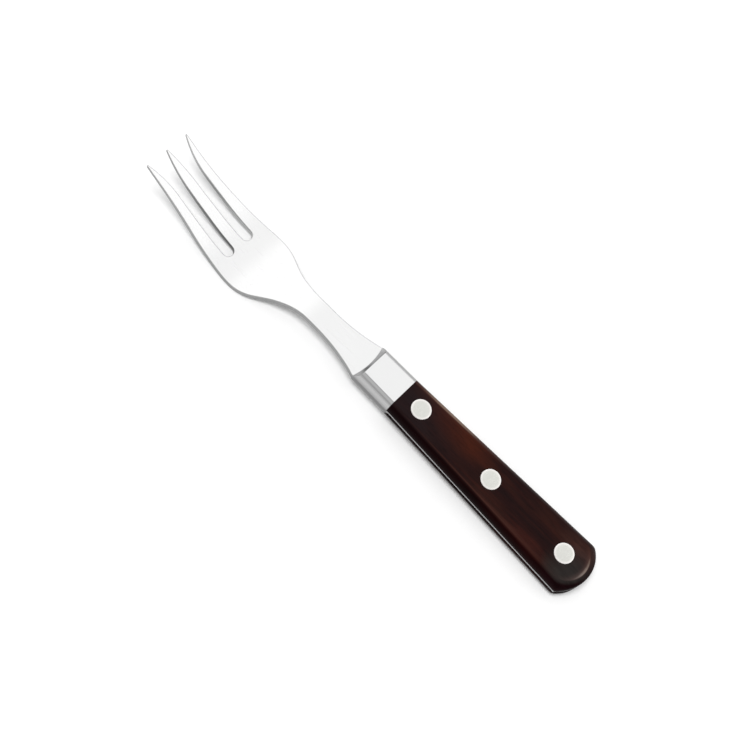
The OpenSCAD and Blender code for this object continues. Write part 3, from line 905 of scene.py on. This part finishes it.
# rivet metal: the head's face, and its rim with a painted highlight
rivetFinish = {
    "face": (0.420, 0.420, 0.396, 1.0),
    # painted highlight on the rounded rim of the head
    "rim": (0.57, 0.545, 0.53, 1.0),
    "rough": (0.26, 0.36),
    "grain": {"cells": (2400, 500, 500), "detail": 3.0},
}


# pale rivet metal: a fine cross-polished face and a painted highlight on the rim, from the piece's own
# attribute
def rivetMaterial(name, r):
    material, tree, shader = newMaterial(name)
    grain = stretchedNoise(tree, placeOn(tree), **r["grain"])
    colour = mixColour(tree, markOf(tree, "edge"), r["face"], r["rim"])
    tree.links.new(colour, shader.inputs["Base Color"])
    tree.links.new(mapped(tree, grain, *noiseSpan, *r["rough"]), shader.inputs["Roughness"])
    shader.inputs["Metallic"].default_value = 1.0
    return material


bladeSteel = steelMaterial("bladeSteel", steelFinish, "blade")
bolsterSteel = steelMaterial("bolsterSteel", steelFinish, "bolster")
darkWood = woodMaterial("darkWood", woodFinish)
rivetMetal = rivetMaterial("rivetMetal", rivetFinish)
print("materials made")

finishPiece(buildForkBlank(forkBlank), "fork_blank", bladeSteel)
for sideName, isBelow in (("top", False), ("bottom", True)):
    cheek = buildBolster(bolster, f"{sideName}Bolster", isBelow)
    finishPiece(cheek, f"{sideName}_bolster", bolsterSteel)
    slab = buildScale(scale, f"{sideName}Scale", isBelow)
    finishPiece(slab, f"{sideName}_scale", darkWood)
for number, rivetX in enumerate(rivetXs, start=1):
    sleeve = buildRivet(rivet, f"rivetSleeve{number}", rivetX, False)
    finishPiece(sleeve, f"rivet_sleeve_{number}", rivetMetal)
    pin = buildRivet(rivet, f"rivetPin{number}", rivetX, True)
    finishPiece(pin, f"rivet_pin_{number}", rivetMetal)

table = {
    "size": 12.0,  # metres
    "colour": (1.0, 1.0, 1.0, 1.0),
}


# matt white table: one square at height 0
def buildTable(t):
    corners = np.array([[-1, -1, 0], [1, -1, 0], [1, 1, 0], [-1, 1, 0]]) * t["size"] / 2
    mesh = bpy.data.meshes.new("table")
    mesh.from_pydata(corners, [], [[0, 1, 2, 3]])
    floor = bpy.data.objects.new("table", mesh)
    bpy.context.scene.collection.objects.link(floor)
    material, _, shader = newMaterial("tableWhite")
    shader.inputs["Base Color"].default_value = t["colour"]
    shader.inputs["Roughness"].default_value = 1.0
    shader.inputs["Specular IOR Level"].default_value = 0.0
    mesh.materials.append(material)


buildTable(table)

# studio: a soft lamp overhead, an even room, and what polished faces mirror: a long bright panel over the
# far side, brighter towards its ends, a bright strip low behind it, and a white wall on the near side with
# a dimmer band
studio = {
    "lampFrom": (0.10, 0.23, 1.0),
    "lampAngle": 22,  # degrees across, for the softness of the shadow
    "lampPower": 1.70,
    "ambient": 0.58,
    "backdrop": 1.0,  # what the camera sees
    "room": 0.66,
    # edges are parts of a direction along x, y or z, in soft pairs
    "panel": (1.90, 2.16),  # in the middle and towards the ends
    "panelX": (0.10, 0.45),
    "panelY": (-0.78, -0.62, -0.20, -0.08),
    "panelZ": (0.12, 0.30),
    "far": 1.8,  # the strip
    "farY": (-0.62, -0.78),
    "farZ": (0.0, 0.15),
    "wall": (1.0, 0.64, 0.95),  # below, in and above a dimmer band
    "wallY": (0.10, 0.40),
    "wallZ": (0.20, 0.32, 0.46, 0.60, 0.80, 0.95),  # the band's edges and the wall's upper end
}


# light from a direction: even for rough faces; for polished ones the greatest of the room, the panel
# inside its edges, the wall and the far strip
def buildStudio(s):
    world = bpy.data.worlds.new("studio")
    bpy.context.scene.world = world
    world.use_nodes = True
    tree = world.node_tree
    tree.nodes.clear()
    direction = addNode(tree, "ShaderNodeTexCoord").outputs["Generated"]
    split = addNode(tree, "ShaderNodeSeparateXYZ", Vector=direction)
    x, y, z = split.outputs["X"], split.outputs["Y"], split.outputs["Z"]
    rising, falling = (0.0, 1.0), (1.0, 0.0)

    # smooth step between two limits, from one level to another
    def smooth(value, limits, levels):
        return mapped(tree, value, *limits, *levels, "SMOOTHSTEP")

    # the values multiplied
    def product(first, *others):
        for other in others:
            first = combined(tree, "MULTIPLY", first, other)
        return first

    # the greatest of the values
    def greatest(first, *others):
        for other in others:
            first = combined(tree, "MAXIMUM", first, other)
        return first

    inside = product(smooth(y, s["panelY"][:2], rising), smooth(y, s["panelY"][2:], falling))
    fromMiddle = combined(tree, "ABSOLUTE", x, 0.0)
    panel = product(inside, smooth(z, s["panelZ"], rising), smooth(fromMiddle, s["panelX"], s["panel"]))
    band = greatest(smooth(z, s["wallZ"][:2], s["wall"][:2]), smooth(z, s["wallZ"][2:4], s["wall"][1:]))
    wall = product(band, smooth(z, s["wallZ"][4:], falling), smooth(y, s["wallY"], rising))
    far = product(smooth(y, s["farY"], (0.0, s["far"])), smooth(z, s["farZ"], rising))
    mirrored = greatest(panel, s["room"], wall, far)
    path = addNode(tree, "ShaderNodeLightPath").outputs
    polished = greatest(path["Is Glossy Ray"], path["Is Transmission Ray"])
    level = addNode(tree, "ShaderNodeMix", n0=polished, n2=s["ambient"], n3=mirrored).outputs[0]
    level = addNode(tree, "ShaderNodeMix", n0=path["Is Camera Ray"], n2=level, n3=s["backdrop"]).outputs[0]
    background = addNode(tree, "ShaderNodeBackground", Color=(1.0, 1.0, 1.0, 1.0), Strength=level)
    output = addNode(tree, "ShaderNodeOutputWorld")
    tree.links.new(background.outputs[0], output.inputs[0])
    data = bpy.data.lights.new("overheadLamp", "SUN")
    data.energy = s["lampPower"]
    data.angle = math.radians(s["lampAngle"])
    lamp = bpy.data.objects.new("overheadLamp", data)
    lamp.rotation_euler = Vector(s["lampFrom"]).to_track_quat("Z", "Y").to_euler()
    lamp.visible_glossy = False  # polished faces mirror the panel instead
    bpy.context.scene.collection.objects.link(lamp)


buildStudio(studio)
bpy.context.scene.view_settings.view_transform = "Standard"

camera = {
    "aim": (0.0005, -0.0001, 0.005),  # metres
    "azimuth": 193.507,  # degrees, as are elevation and roll
    "elevation": 66.05,
    "distance": 0.6035,  # metres
    "roll": 32.25,
    "lens": 85.34,  # mm, as is the sensor
    "sensor": 36,
}


# camera: backs off from its aim along an azimuth and an elevation, looks back, and leans about its own axis
def buildCamera(c):
    data = bpy.data.cameras.new("photoCamera")
    data.lens = c["lens"]
    data.sensor_width = c["sensor"]
    eye = bpy.data.objects.new("photoCamera", data)
    bpy.context.scene.collection.objects.link(eye)
    a, e = math.radians(c["azimuth"]), math.radians(c["elevation"])
    back = Vector((math.sin(a) * math.cos(e), -math.cos(a) * math.cos(e), math.sin(e)))
    look = (-back).to_track_quat("-Z", "Y").to_matrix().to_4x4()
    lean = Matrix.Rotation(math.radians(c["roll"]), 4, "Z")
    eye.matrix_world = Matrix.Translation(Vector(c["aim"]) + back * c["distance"]) @ look @ lean
    bpy.context.scene.camera = eye


buildCamera(camera)
print("stage, light and camera set")
